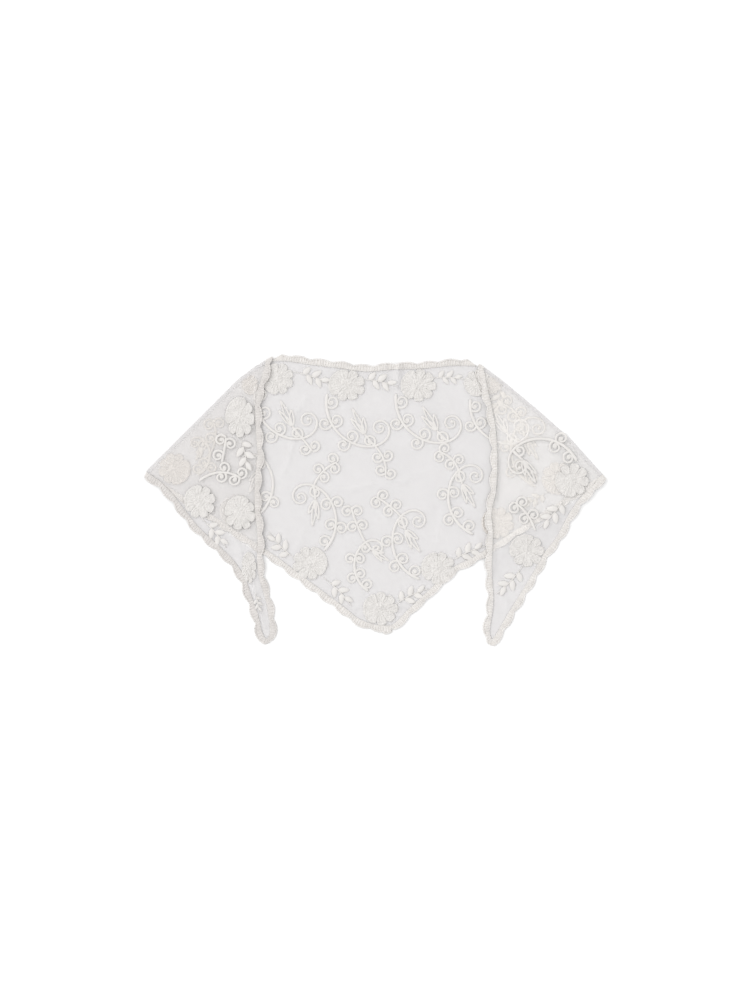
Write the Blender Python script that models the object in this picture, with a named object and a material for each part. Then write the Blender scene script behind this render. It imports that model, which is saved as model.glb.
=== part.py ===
"""Small triangular lace shawl, lying flat with both long ends folded in over the middle.

Metres, +Z up, origin on the surface under the middle of the folded shawl. The layout tables are in
millimetres seen from above, x to the right and y away from the viewer.
The net ground is three panels: the middle, and two ends turned over at their folds. An edging of
scallops runs round every edge. Flowers, scrolls and leaf sprays of thread lie on the panels.
"""
import math

import bmesh
import bpy
from mathutils import Matrix, Vector
from mathutils.geometry import delaunay_2d_cdt

MM = 0.001
MIDDLE = (1.065, -0.115)     # middle of the folded outline in the layout, mm

# Thicknesses and gaps, mm
NET = 1.0
EDGING = 2.0
CORD = 1.2
SEAM_GAP = 0.3
FLAP_LEVEL = 3.0             # underside of a folded end, clear of the thread below it
FOLD_RADIUS = FLAP_LEVEL / 2  # middle of the wall round a fold
FOLD_INSET = FOLD_RADIUS + EDGING / 2  # from a fold's outer line to the middle of its roll
FOLD_STEPS = 4
FOLD_LIP = 3.0               # how far a folded end runs back under itself

# Edging, mm
EDGING_WIDTH = 6.5
SCALLOP_PITCH = 33.0
SCALLOP_SHARES = (0.0, 0.22, 0.5, 0.78)
SCALLOP_DEPTHS = {"top": 3.6, "lower_left": 4.0, "lower_right": 3.0, "end": 4.4}
SEAM_STEP = 3.0              # how closely a seam's curve is followed
SEAM_SHARES = (0.0, 0.5)     # where the plain inner line has its points
SEAM_TURN = 24.0             # an extra point wherever the seam turns this far,
SEAM_CLOSEST = 0.08          # unless a point is nearer than this share of a scallop

# Thread work, mm and degrees
STEM_WIDTH = 4.6
CURL_WIDTH = 3.0
STALK_WIDTH = 1.8
# longest stretch and most turn between two points
STEM_STEP = (24.0, 38.0)
CURL_STEP = (14.0, 68.0)
SPRIG_STEP = (16.0, 26.0)
SPRAY_STEP = (14.0, 26.0)
LEAF_POINTS = ((0.0, 0.12), (0.42, 0.5), (1.0, 0.06))
FLOWER_RADIUS = 26.0
FLOWER_PETALS = 9
FLOWER_CORNERS = 18
FLOWER_SCALLOP = 0.12        # share of the radius by which a petal's rim bulges
# name of ring, share of radius, height at a petal's middle, height between petals
FLOWER_RINGS = (
    ("rim", 1.0, 0.7, 0.6),
    ("petals", 0.68, 1.4, 0.8),
    ("throat", 0.3, 0.9, 0.9),
)
FLOWER_KNOT = 1.4

# A scroll stem bends gently, then winds up into a spiral
SCROLL_LENGTH = 222.0
SCROLL_BEND = 0.84           # degrees a millimetre
SCROLL_WINDS_FROM = 92.0
SCROLL_WINDING = 0.00045
CURL_LENGTH = 41.0
CURL_RADII = (11.0, 3.9)
CURL_LEAVES_AT = 34.0        # degrees off the stem
CURL_SMALLEST = 0.8          # a small scroll's curls are no smaller than this
# along the stem, side
SCROLL_CURLS = ((19.0, 1), (48.0, -1), (53.0, 1), (87.0, -1), (93.0, 1))
# where the bud's stalk leaves the stem, how far it turns, its length
BUD_STALK = (128.0, 118.0, 24.0)
# turn from the stalk, length, width
BUD_LEAVES = ((-15.0, 44.0, 5.4), (1.0, 33.0, 5.2), (-36.0, 26.0, 5.6))
BUD_CURL = (126.0, 0.95)     # where the curl round a bud's foot leaves the stem, and its scale
SPRIG_FROM = 128.0           # where a sprig leaves the stem
# from the sprig's tip back, side
SPRIG_CURLS = ((5.0, -1), (1.0, 1), (29.0, -1), (26.0, 1))
SPRIG_CURL_SCALE = 0.85
SPRIG_BARE = 12.0            # no curl nearer its root than this
SPRAY_LENGTH = 40.0
SPRAY_BEND = -0.35
# along the stem, turn, length, width
SPRAY_LEAVES = (
    (6.0, 55.0, 14.0, 7.4),
    (13.0, -50.0, 16.0, 7.4),
    (21.0, 48.0, 16.0, 7.4),
    (29.0, -45.0, 15.0, 7.0),
    (36.0, 22.0, 14.0, 6.4),
)

# Fold lines, from the top edge to the lower edge
FOLDS = {
    "left": ((-158.9, 222.4), (-186.0, 206.0), (-213.1, 185.2), (-352.6, 45.7), (-358.1, 33.3)),
    "right": ((157.3, 214.7), (197.6, 185.2), (253.4, 138.7), (306.1, 92.2), (348.0, 45.7), (360.4, 31.0)),
}
# Lines that the panels' stitched edges follow, where the edging begins
TOP_SEAM = ((200.0, 204.0), (160.0, 208.5), (122.0, 209.5), (75.0, 205.0), (35.0, 204.0),
            (-12.0, 200.5), (-50.0, 205.0), (-98.0, 211.0), (-146.0, 217.0), (-200.0, 211.0))
LOWER_LEFT_SEAM = ((-385.0, 60.0), (-268.0, -16.0), (-164.0, -83.0), (-127.0, -110.0), (-49.0, -168.0),
                   (-26.0, -186.0), (0.0, -196.0), (27.0, -197.5))
LOWER_RIGHT_SEAM = ((27.0, -197.5), (38.0, -189.0), (53.0, -173.0), (111.0, -119.0), (128.0, -104.0),
                    (163.0, -86.0), (265.0, -20.0), (388.0, 58.0))
LEFT_END_SEAM = ((-384.0, 62.0), (-352.0, 39.5), (-331.0, 24.0), (-312.0, 4.0), (-293.0, -21.0),
                 (-273.0, -45.0), (-246.0, -70.0), (-219.0, -97.0), (-203.0, -122.0), (-193.0, -149.0),
                 (-181.0, -184.0), (-176.5, -205.0), (-168.0, -218.0), (-160.0, -205.0),
                 (-165.0, -163.0), (-176.0, -124.0), (-179.5, -98.0), (-179.0, -55.0), (-183.0, -15.0),
                 (-183.0, 30.0), (-179.0, 66.0), (-181.0, 100.0), (-182.5, 140.0), (-179.0, 168.0),
                 (-171.0, 192.0), (-166.0, 216.0), (-163.0, 244.0))
RIGHT_END_SEAM = ((163.0, 240.0), (166.0, 210.0), (171.5, 175.0), (179.0, 145.0), (185.5, 106.0),
                  (188.0, 60.0), (185.5, 12.0), (179.0, -20.0), (181.0, -56.0), (179.5, -105.0),
                  (182.0, -150.0), (181.0, -172.0), (176.5, -203.0), (182.0, -219.0), (192.5, -206.0),
                  (209.0, -178.0), (230.0, -144.0), (248.0, -114.0), (265.0, -84.0), (285.0, -58.0),
                  (304.0, -22.0), (322.0, 3.0), (341.0, 21.0), (354.0, 37.0), (388.0, 58.0))
# Straight lines of the middle's lower edges; past them a folded end comes down to the surface
LOWER_EDGES = {
    "left": ((-358.1, 33.3), (-168.2, -89.9)),
    "right": ((360.4, 31.0), (166.0, -93.3)),
}
RAMP = (3.0, 45.0)           # a folded end comes down between these distances past the edge

# name, panel, x, y, width and height as shares of the usual flower, turn
FLOWERS = (
    ("flower_top_1", "middle", -151.0, 186.5, 0.95, 0.95, 10.0),
    ("flower_top_2", "middle", -44.0, 177.5, 1.08, 0.95, 35.0),
    ("flower_top_3", "middle", 67.0, 177.0, 1.04, 0.98, 0.0),
    ("flower_top_4", "middle", 159.0, 180.0, 0.8, 0.8, 20.0),
    ("flower_low_1", "middle", -98.7, -98.0, 1.03, 1.0, 15.0),
    ("flower_low_2", "middle", 8.0, -169.5, 1.03, 1.0, 0.0),
    ("flower_low_3", "middle", 97.5, -106.0, 1.0, 0.97, 25.0),
    ("flower_low_4", "middle", 190.0, -36.0, 0.95, 0.95, 5.0),
    ("flower_low_5", "middle", -216.0, -18.0, 0.95, 0.95, 5.0),
    ("flower_corner_left", "middle", -309.0, 47.0, 0.95, 0.95, 30.0),
    ("flower_corner_right", "middle", 283.0, 32.0, 0.95, 0.95, 10.0),
    ("flower_left_end_1", "left", -209.0, 128.0, 0.86, 1.2, 20.0),
    ("flower_left_end_2", "left", -271.5, -3.0, 0.92, 1.0, 0.0),
    ("flower_left_end_3", "left", -209.0, -20.0, 0.92, 1.02, 15.0),
    ("flower_left_end_4", "left", -194.5, -104.5, 0.45, 0.92, 0.0),
    ("flower_right_end_1", "right", 305.0, 29.0, 1.0, 1.0, 20.0),
    ("flower_right_end_2", "right", 235.0, -78.6, 1.03, 0.97, 5.0),
)
# name, panel, x, y, heading, side it winds to, scale, number of curls, turn of the bud if there is one,
# and the sprig's heading, length and bend
SCROLLS = (
    ("scroll_top_1", "middle", -184.0, 177.0, -103.0, 1, 1.0, 5, 0.0, (-48.0, 26.0, -0.3)),
    ("scroll_top_2", "middle", -73.0, 164.0, -102.0, 1, 1.0, 5, 0.0, (-42.0, 52.0, -1.1)),
    ("scroll_top_3", "middle", 33.5, 164.0, -97.0, 1, 1.0, 5, 0.0, None),
    ("scroll_top_4", "middle", 149.0, 156.0, -98.0, 1, 0.9, 3, 0.0, None),
    ("scroll_low_1", "middle", -78.0, -79.0, 45.0, 1, 0.93, 5, 0.0, (68.0, 54.0, -0.85)),
    ("scroll_low_2", "middle", -9.0, -142.0, 148.0, -1, 0.69, 5, 37.0, (118.0, 60.0, -0.2)),
    ("scroll_low_3", "middle", 70.5, -123.5, 161.0, -1, 0.93, 5, 0.0, (132.0, 50.0, 0.4)),
    ("scroll_low_4", "middle", 153.0, -54.0, 157.0, -1, 0.93, 5, 0.0, (108.0, 46.0, 1.3)),
    ("scroll_low_5", "middle", -188.0, -28.0, 28.0, 1, 0.85, 3, 0.0, None),
    ("scroll_corner_left", "middle", -274.0, 38.5, 26.0, 1, 0.5, 3, 0.0, None),
    ("scroll_right_end", "right", 313.5, 59.0, 116.0, 1, 0.92, 3, -34.0, None),
)
# A flower that reaches over the edging ends at this line along the seam in the solid
FLOWER_ENDS = {
    "flower_low_3": ((53.0, -173.0), (111.0, -119.0)),
}
# name, panel, x, y, heading, scale
SPRAYS = (
    ("spray_top_1", "middle", -116.0, 196.0, -12.0, 0.95),
    ("spray_top_2", "middle", -14.0, 186.0, -4.0, 0.95),
    ("spray_top_3", "middle", 95.5, 189.0, 4.0, 0.8),
    ("spray_low_1", "middle", -129.0, -87.0, 142.0, 0.95),
    ("spray_low_2", "middle", -71.0, -127.5, -38.0, 0.95),
    ("spray_low_3", "middle", 36.5, -160.0, 34.0, 0.95),
    ("spray_low_4", "middle", 125.0, -92.0, 32.0, 0.95),
    ("spray_left_end_1", "left", -207.0, 93.0, -70.0, 1.0),
    ("spray_left_end_2", "left", -260.0, -37.0, -43.0, 0.9),
    ("spray_left_end_3", "left", -183.5, -149.0, -74.0, 0.5),
    ("spray_right_end_1", "right", 291.0, -3.0, -122.0, 1.0),
    ("spray_right_end_2", "right", 226.0, -108.0, -125.0, 1.0),
)
# Sprigs that stand alone: name, panel, x, y, heading, length, bend
SPRIGS = (
    ("scroll_left_end", "left", -272.0, 28.0, 43.0, 72.0, -1.1),
    ("sprig_left_end", "left", -236.5, 57.0, 78.0, 40.0, 0.1),
    ("sprig_right_end", "right", 249.0, -49.0, 106.0, 56.0, 0.7),
)

CLOTH_COLOURS = {
    "net": (0.84, 0.835, 0.825),
    "edging": (0.80, 0.78, 0.745),
    "thread": (0.83, 0.81, 0.78),
}


def heading_vector(degrees):
    return Vector((math.cos(math.radians(degrees)), math.sin(math.radians(degrees))))


def walk(start, heading, length, bend, side, longest, most_turn):
    """Points and headings along a line that bends by bend(s) degrees a millimetre."""
    step = 0.5
    here = Vector(start)
    rows = [(here.copy(), heading, 0.0)]
    run = turned = along = 0.0
    while along < length - 1e-6:
        stride = min(step, length - along)
        turn = bend(along + stride / 2) * stride
        heading += side * turn / 2
        here = here + heading_vector(heading) * stride
        heading += side * turn / 2
        along += stride
        run += stride
        turned += abs(turn)
        if run >= longest or turned >= most_turn or along >= length - 1e-6:
            rows.append((here.copy(), heading, along))
            run = turned = 0.0
    return rows


def at(rows, distance):
    """Place and heading at a distance along a walked line."""
    for (p, h, s), (q, g, t) in zip(rows, rows[1:]):
        if t >= distance:
            share = (distance - s) / (t - s)
            return p.lerp(q, share), h + (g - h) * share
    return rows[-1][0], rows[-1][1]


def ribbon(rows, width):
    """A cord seen from above: one four-sided outline for each stretch between rows."""
    pairs = []
    for place, heading, _ in rows:
        across = heading_vector(heading + 90) * width / 2
        pairs.append((place + across, place - across))
    return [(b, d, c, a) for (a, b), (c, d) in zip(pairs, pairs[1:])]


def leaf(start, heading, length, width):
    along = heading_vector(heading)
    across = heading_vector(heading + 90)
    start = Vector(start)
    right = [start + along * (s * length) - across * (w * width) for s, w in LEAF_POINTS]
    left = [start + along * (s * length) + across * (w * width) for s, w in LEAF_POINTS]
    return [right + left[::-1]]


def curl(start, heading, side, scale):
    first, last = (r * scale for r in CURL_RADII)
    length = CURL_LENGTH * scale

    def bend(s):
        return math.degrees(1 / (first + (last - first) * s / length))

    rows = walk(start, heading + side * CURL_LEAVES_AT, length, bend, side, *CURL_STEP)
    return ribbon(rows, CURL_WIDTH)


def sprig(start, heading, length, bend):
    """A short stem with a pair of curls at its tip, and another lower down if it is long."""
    rows = walk(start, heading, length, lambda s: bend, 1, *SPRIG_STEP)
    shapes = ribbon(rows, CURL_WIDTH)
    for back, side in SPRIG_CURLS:
        if back < length - SPRIG_BARE:
            shapes += curl(*at(rows, length - back), side, SPRIG_CURL_SCALE)
    return shapes


def bud(rows, side, scale, bud_turn):
    """A fan of narrow leaves on a stalk that leaves a scroll's stem."""
    leaves_at, turn, length = BUD_STALK
    place, direction = at(rows, leaves_at * scale)
    stalk = walk(place, direction + side * turn + bud_turn, length * scale, lambda s: 0.0, 1, *STEM_STEP)
    shapes = ribbon(stalk, CURL_WIDTH)
    for turn, length, width in BUD_LEAVES:
        shapes += leaf(stalk[-1][0], stalk[-1][1] + side * turn, length * scale, width * scale)
    along, size = BUD_CURL
    return shapes + curl(*at(rows, along * scale), side, size * max(scale, CURL_SMALLEST))


def scroll(start, heading, side, scale, curls, bud_turn, sprig_row):
    """A stem that winds into a spiral, its side curls, its bud and its sprig."""
    def bend(s):
        wound = max(0.0, s / scale - SCROLL_WINDS_FROM)
        return (SCROLL_BEND + SCROLL_WINDING * wound ** 2) / scale

    rows = walk(start, heading, SCROLL_LENGTH * scale, bend, side, *STEM_STEP)
    shapes = ribbon(rows, STEM_WIDTH)
    for along, curl_side in SCROLL_CURLS[:curls]:
        place, direction = at(rows, along * scale)
        shapes += curl(place, direction, curl_side * side, max(scale, CURL_SMALLEST))
    if bud_turn is not None:
        shapes += bud(rows, side, scale, bud_turn)
    if sprig_row:
        shapes += sprig(at(rows, SPRIG_FROM * scale)[0], *sprig_row)
    return shapes


def spray(start, heading, scale):
    rows = walk(start, heading, SPRAY_LENGTH * scale, lambda s: SPRAY_BEND, 1, *SPRAY_STEP)
    shapes = ribbon(rows, STALK_WIDTH)
    for along, turn, length, width in SPRAY_LEAVES:
        place, direction = at(rows, along * scale)
        shapes += leaf(place, direction + turn, length * scale, width * scale)
    return shapes


def smooth_line(points, spacing):
    """A smooth curve through the points, with a point about every spacing."""
    points = [Vector(p) for p in points]
    ends = [points[0] * 2 - points[1]] + points + [points[-1] * 2 - points[-2]]
    line = [points[0]]
    for a, b, c, d in zip(ends, ends[1:], ends[2:], ends[3:]):
        count = max(1, round((c - b).length / spacing))
        for i in range(1, count + 1):
            t = i / count
            line.append(0.5 * (2 * b + (c - a) * t + (2 * a - 5 * b + 4 * c - d) * t ** 2
                               + (3 * b - a - 3 * c + d) * t ** 3))
    return line


def spaced(line, distances):
    """Points and headings at the given distances along a line of points."""
    rows, along, wanted = [], 0.0, list(distances)
    for p, q in zip(line, line[1:]):
        step = (q - p).length
        heading = math.degrees(math.atan2(q.y - p.y, q.x - p.x))
        while wanted and wanted[0] <= along + step + 1e-6:
            rows.append((p.lerp(q, (wanted[0] - along) / step), heading))
            wanted.pop(0)
        along += step
    return rows


def seam_rows(seam):
    """Rows along a seam: share of a scallop, place, heading, and if the inner line has a point."""
    line = smooth_line(seam, SEAM_STEP)
    length = sum((q - p).length for p, q in zip(line, line[1:]))
    count = max(1, round(length / SCALLOP_PITCH))
    shares = {i + s: s in SEAM_SHARES for i in range(count) for s in SCALLOP_SHARES}
    shares[float(count)] = True
    along, kept = 0.0, None
    for p, q in zip(line, line[1:]):
        heading = math.degrees(math.atan2(q.y - p.y, q.x - p.x))
        turned = (heading - (heading if kept is None else kept) + 180) % 360 - 180
        if kept is None or abs(turned) > SEAM_TURN:
            share = along / length * count
            if kept is not None and min(abs(share - other) for other in shares) > SEAM_CLOSEST:
                shares[share] = True
            kept = heading
        along += (q - p).length
    ordered = sorted(shares)
    rows = spaced(line, [s * length / count for s in ordered])
    return [(s, place, heading, shares[s]) for s, (place, heading) in zip(ordered, rows)]


def seam_outline(seam):
    """The stitched edge of a net panel."""
    return [place for _, place, _, inner in seam_rows(seam) if inner]


def edging_outline(seam, depth):
    """The edging's outlines: a plain inner line along the seam and a scalloped outer one."""
    shapes, outer, last = [], [], None
    for share, place, heading, has_inner in seam_rows(seam):
        out = heading_vector(heading - 90)
        bulge = abs(math.sin(math.pi * share)) - 0.5
        outer.append(place + out * (SEAM_GAP + EDGING_WIDTH + depth * bulge))
        if has_inner:
            inner = place + out * SEAM_GAP
            if last is not None:
                shapes.append([last] + outer + [inner])
            last, outer = inner, outer[-1:]
    return shapes


def turned_left(shape):
    """The outline with its points in anticlockwise order."""
    shape = [Vector(p) for p in shape]
    area = sum(p.cross(q) for p, q in zip(shape, shape[1:] + shape[:1]))
    return shape if area > 0 else shape[::-1]


def flat_sheet(shapes):
    """A flat mesh of all that the outlines cover, joined where they cross."""
    points, faces = [], []
    for shape in shapes:
        faces.append([len(points) + i for i in range(len(shape))])
        points += turned_left(shape)
    found = delaunay_2d_cdt(points, [], faces, 1, 0.001)
    bm = bmesh.new()
    verts = [bm.verts.new((p.x, p.y, 0.0)) for p in found[0]]
    for corners, owners in zip(found[2], found[5]):
        if owners:
            bm.faces.new([verts[i] for i in corners])
    bmesh.ops.delete(bm, geom=[v for v in verts if not v.link_faces], context="VERTS")
    bmesh.ops.recalc_face_normals(bm, faces=bm.faces)
    if sum(f.normal.z for f in bm.faces) < 0:
        bmesh.ops.reverse_faces(bm, faces=bm.faces)
    return bm


def cut(bm, start, end, inset, clear=True):
    """Cuts along a line seen from above, moved inset to its inner side; clears what lies past."""
    inward = inward_of(start, end)
    place = Vector((*start, 0.0)) + inward * inset
    bmesh.ops.bisect_plane(bm, geom=bm.verts[:] + bm.edges[:] + bm.faces[:], dist=1e-4,
                           plane_co=place, plane_no=inward, clear_inner=clear)


def inward_of(start, end):
    """Unit vector across a line, towards the middle of the shawl."""
    across = Vector((start[1] - end[1], end[0] - start[0], 0.0)).normalized()
    return -across if across.x * start[0] > 0 else across


def past_edge(side, x, y):
    """How far a point lies past the middle's lower edge."""
    (ax, ay), (bx, by) = LOWER_EDGES[side]
    along = Vector((bx - ax, by - ay)).normalized()
    down = Vector((-along.y, along.x))
    if down.y > 0:
        down = -down
    return (x - ax) * down.x + (y - ay) * down.y


def underside(panel, x, y):
    """Height of a panel's underside above the surface."""
    if panel == "middle":
        return 0.0
    share = (past_edge(panel, x, y) - RAMP[0]) / (RAMP[1] - RAMP[0])
    return FLAP_LEVEL * (1.0 - min(1.0, max(0.0, share)))


def crease_for_ramp(bm, panel):
    """Edges where a folded end starts to come down and where it reaches the surface."""
    if panel == "middle":
        return
    for distance in RAMP:
        cut(bm, *LOWER_EDGES[panel], -distance, clear=False)


def close_up(bm, base):
    """Gives a sheet its thickness: its z holds the height over base(x, y) at each point."""
    found = bmesh.ops.extrude_face_region(bm, geom=bm.faces[:])
    raised = {v for v in found["geom"] if isinstance(v, bmesh.types.BMVert)}
    for v in bm.verts:
        under = base(v.co.x, v.co.y)
        v.co.z = under + (v.co.z if v in raised else 0.0)
    bmesh.ops.recalc_face_normals(bm, faces=bm.faces)
    if bm.calc_volume(signed=True) < 0:
        bmesh.ops.reverse_faces(bm, faces=bm.faces)


def plain_underneath(bm):
    """Joins the underside's faces into one where they all lie in one plane."""
    low = min(v.co.z for v in bm.verts)
    under = [f for f in bm.faces if all(abs(v.co.z - low) < 1e-5 for v in f.verts)]
    bmesh.ops.dissolve_faces(bm, faces=under, use_verts=False)


def add_piece(name, bm, slot):
    for v in bm.verts:
        v.co = Vector((v.co.x - MIDDLE[0], v.co.y - MIDDLE[1], v.co.z)) * MM
    mesh = bpy.data.meshes.new(name)
    bm.to_mesh(mesh)
    bm.free()
    mesh.materials.append(cloth_material(slot))
    piece = bpy.data.objects.new(name, mesh)
    bpy.context.scene.collection.objects.link(piece)
    return piece


def cloth_material(slot):
    material = bpy.data.materials.get(slot)
    if material:
        return material
    material = bpy.data.materials.new(slot)
    material.use_nodes = True
    shader = material.node_tree.nodes["Principled BSDF"]
    shader.inputs["Base Color"].default_value = (*CLOTH_COLOURS[slot], 1.0)
    shader.inputs["Roughness"].default_value = 0.85
    shader.inputs["Metallic"].default_value = 0.0
    return material


def add_middle_piece(name, shapes, thickness, slot):
    """A piece of the middle: flat on the surface, ending just short of both folds' lips."""
    bm = flat_sheet(shapes)
    for fold in FOLDS.values():
        for start, end in zip(fold, fold[1:]):
            cut(bm, start, end, FOLD_INSET + FOLD_LIP + SEAM_GAP)
    for v in bm.verts:
        v.co.z = thickness
    close_up(bm, lambda x, y: 0.0)
    plain_underneath(bm)
    return add_piece(name, bm, slot)


def fold_edges(bm, side):
    """The edges along a fold, and for each of their points the way out across the fold."""
    fold = FOLDS[side]
    outward = {}
    for v in bm.verts:
        ways = []
        for start, end in zip(fold, fold[1:]):
            inward = inward_of(start, end)
            if abs((v.co - Vector((*start, v.co.z))).dot(inward) - FOLD_INSET) < 1e-3:
                ways.append(-inward)
        if ways:
            way = sum(ways, Vector())
            outward[v] = way / way.dot(ways[0])
    edges = [e for e in bm.edges if e.is_boundary and all(v in outward for v in e.verts)]
    return edges, outward


def roll_under(bm, edges, outward, low):
    """Rolls the sheet's edges round the fold and back under it, down to the height low."""
    start = {v: (v.co.copy(), outward[v]) for e in edges for v in e.verts}
    for step in range(1, FOLD_STEPS + 2):
        grown = bmesh.ops.extrude_edge_only(bm, edges=edges)
        new = {v for v in grown["geom"] if isinstance(v, bmesh.types.BMVert)}
        edges = [e for e in grown["geom"]
                 if isinstance(e, bmesh.types.BMEdge) and all(v in new for v in e.verts)]
        rows = {}
        for v in new:
            place, out = next(start[o] for o in (e.other_vert(v) for e in v.link_edges) if o in start)
            angle = math.pi * min(step, FOLD_STEPS) / FOLD_STEPS
            reach = FOLD_RADIUS * math.sin(angle) - (FOLD_LIP if step > FOLD_STEPS else 0.0)
            v.co = place + out * reach
            v.co.z = low + FOLD_RADIUS * (1 + math.cos(angle))
            rows[v] = (place, out)
        start = rows


def add_end_piece(name, side, shapes, thickness, slot):
    """A piece of a folded end: it lies on the middle and rolls round the fold to the surface."""
    bm = flat_sheet(shapes)
    crease_for_ramp(bm, side)
    fold = FOLDS[side]
    for start, end in zip(fold, fold[1:]):
        cut(bm, start, end, FOLD_INSET)
    for v in bm.verts:
        v.co.z = underside(side, v.co.x, v.co.y) + thickness / 2
    edges, outward = fold_edges(bm, side)
    roll_under(bm, edges, outward, thickness / 2)
    bmesh.ops.recalc_face_normals(bm, faces=bm.faces)
    piece = add_piece(name, bm, slot)
    wall = piece.modifiers.new("wall", "SOLIDIFY")
    wall.thickness = thickness * MM
    wall.offset = 0.0
    wall.use_even_offset = True
    return piece


def add_thread(name, panel, bm, flat_below):
    """Thread work that lies on a panel, from the panel's own heights moved up."""
    close_up(bm, lambda x, y: underside(panel, x, y) + NET + SEAM_GAP)
    if flat_below:
        plain_underneath(bm)
    add_piece(name, bm, "thread")


def add_cords(name, panel, shapes):
    bm = flat_sheet(shapes)
    crease_for_ramp(bm, panel)
    for v in bm.verts:
        v.co.z = CORD
    add_thread(name, panel, bm, False)


def add_flower(name, panel, x, y, wide, high, turn):
    """Scalloped petals raised between grooves, round a knotted centre."""
    bm = bmesh.new()
    rings = []
    for _, share, raised, groove in FLOWER_RINGS:
        ring = []
        for i in range(FLOWER_CORNERS):
            angle = 2 * math.pi * i / FLOWER_CORNERS
            petal = abs(math.sin(angle * FLOWER_PETALS / 2))
            scallop = 1.0 - FLOWER_SCALLOP * (1.0 - petal) if share == 1.0 else 1.0
            reach = FLOWER_RADIUS * share * scallop
            place = Matrix.Rotation(math.radians(turn), 2) @ Vector((reach * math.cos(angle),
                                                                     reach * math.sin(angle)))
            ring.append(bm.verts.new((x + place.x * wide, y + place.y * high,
                                      groove + (raised - groove) * petal)))
        rings.append(ring)
    for outer, inner in zip(rings, rings[1:]):
        for i in range(FLOWER_CORNERS):
            j = (i + 1) % FLOWER_CORNERS
            bm.faces.new((outer[i], outer[j], inner[j], inner[i]))
    middle = bm.verts.new((x, y, FLOWER_KNOT))
    for i in range(FLOWER_CORNERS):
        bm.faces.new((rings[-1][i], rings[-1][(i + 1) % FLOWER_CORNERS], middle))
    bmesh.ops.triangulate(bm, faces=bm.faces)
    crease_for_ramp(bm, panel)
    if name in FLOWER_ENDS:
        cut(bm, *FLOWER_ENDS[name], SEAM_GAP)
    sloping = len({round(underside(panel, v.co.x, v.co.y), 6) for v in bm.verts}) > 1
    add_thread(name, panel, bm, not sloping)


def main():
    for old in list(bpy.data.objects):
        bpy.data.objects.remove(old)
    middle = seam_outline(LOWER_LEFT_SEAM) + seam_outline(LOWER_RIGHT_SEAM)[1:] + seam_outline(TOP_SEAM)
    add_middle_piece("net_middle", [middle], NET, "net")
    seams = {"top": TOP_SEAM, "lower_left": LOWER_LEFT_SEAM, "lower_right": LOWER_RIGHT_SEAM}
    for edge, seam in seams.items():
        shapes = edging_outline(seam, SCALLOP_DEPTHS[edge])
        add_middle_piece("edging_" + edge, shapes, EDGING, "edging")
    for side, seam in (("left", LEFT_END_SEAM), ("right", RIGHT_END_SEAM)):
        add_end_piece("net_%s_end" % side, side, [seam_outline(seam)], NET, "net")
        shapes = edging_outline(seam, SCALLOP_DEPTHS["end"])
        add_end_piece("edging_%s_end" % side, side, shapes, EDGING, "edging")
    for row in FLOWERS:
        add_flower(*row)
    for name, panel, x, y, *shape in SCROLLS:
        add_cords(name, panel, scroll((x, y), *shape))
    for name, panel, x, y, heading, scale in SPRAYS:
        add_cords(name, panel, spray((x, y), heading, scale))
    for name, panel, x, y, *shape in SPRIGS:
        add_cords(name, panel, sprig((x, y), *shape))


main()
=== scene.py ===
import math

import bmesh
import bpy
from mathutils import Matrix, Vector, kdtree, noise
from mathutils.geometry import delaunay_2d_cdt


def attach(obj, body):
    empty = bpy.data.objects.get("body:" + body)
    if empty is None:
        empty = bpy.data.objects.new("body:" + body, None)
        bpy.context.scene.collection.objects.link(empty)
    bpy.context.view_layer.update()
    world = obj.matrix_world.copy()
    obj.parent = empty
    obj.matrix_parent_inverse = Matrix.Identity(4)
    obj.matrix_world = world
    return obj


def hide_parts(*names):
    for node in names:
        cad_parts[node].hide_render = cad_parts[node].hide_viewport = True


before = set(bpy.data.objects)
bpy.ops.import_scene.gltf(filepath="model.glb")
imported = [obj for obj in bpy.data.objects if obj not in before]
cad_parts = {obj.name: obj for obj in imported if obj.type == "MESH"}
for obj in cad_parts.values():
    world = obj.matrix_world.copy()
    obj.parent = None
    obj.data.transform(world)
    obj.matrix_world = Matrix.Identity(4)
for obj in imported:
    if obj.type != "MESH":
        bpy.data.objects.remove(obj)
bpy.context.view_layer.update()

mm = 0.001
layoutMiddle = (1.065, -0.115)  # the layout's own middle, mm, as in the solids

# layout, in mm seen from above, x to the right and y away: the same numbers as the solids

cloth = {
    "wall": 0.45,        # real net is thinner, this is the least that shows a soft edge
    "grid": 3.6,
    "outline step": 4.0,
    "seam gap": 0.3,
    "flap level": 3.0,
    "flap sag": 0.8,     # how much lower the ends lie away from their folds
    "fold inset": 2.5,
    "fold lip": 3.0,
    "fold steps": 8,
    "ramp": (3.0, 45.0),
    "rest": 0.9,         # the cloth's mean height over the floor, so that it can dip
    "least": 0.05,       # its lowest height
    "folded": 0.1,       # its height where it ends at a fold
    "flat edge": (5.0, 16.0),  # where it starts to rise from there, and over how long a way
    "rise": 22.0,        # how far from its fold an end takes its own relief
    "fullness": 0.25,    # how much higher the ends lie on average for it
    "dome": 1.1,         # how far an end bulges over a flower beneath it,
    "flower radius": 26.0,
    "dome margin": 3.0,  # out to this far past its rim,
    "dome edge": 6.0,    # with an edge as wide as this
    "roll": 0.8,         # how far a fold bulges, as a share of its inset
    "rim apart": 0.4,    # points of the grid nearer the outline than this share of it are left out
}
folds = {
    "left": ((-158.9, 222.4), (-186, 206), (-213.1, 185.2), (-352.6, 45.7), (-358.1, 33.3)),
    "right": ((157.3, 214.7), (197.6, 185.2), (253.4, 138.7), (306.1, 92.2), (348, 45.7), (360.4, 31)),
}
topSeam = ((200, 204), (160, 208.5), (122, 209.5), (75, 205), (35, 204), (-12, 200.5), (-50, 205),
           (-98, 211), (-146, 217), (-200, 211))
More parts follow.
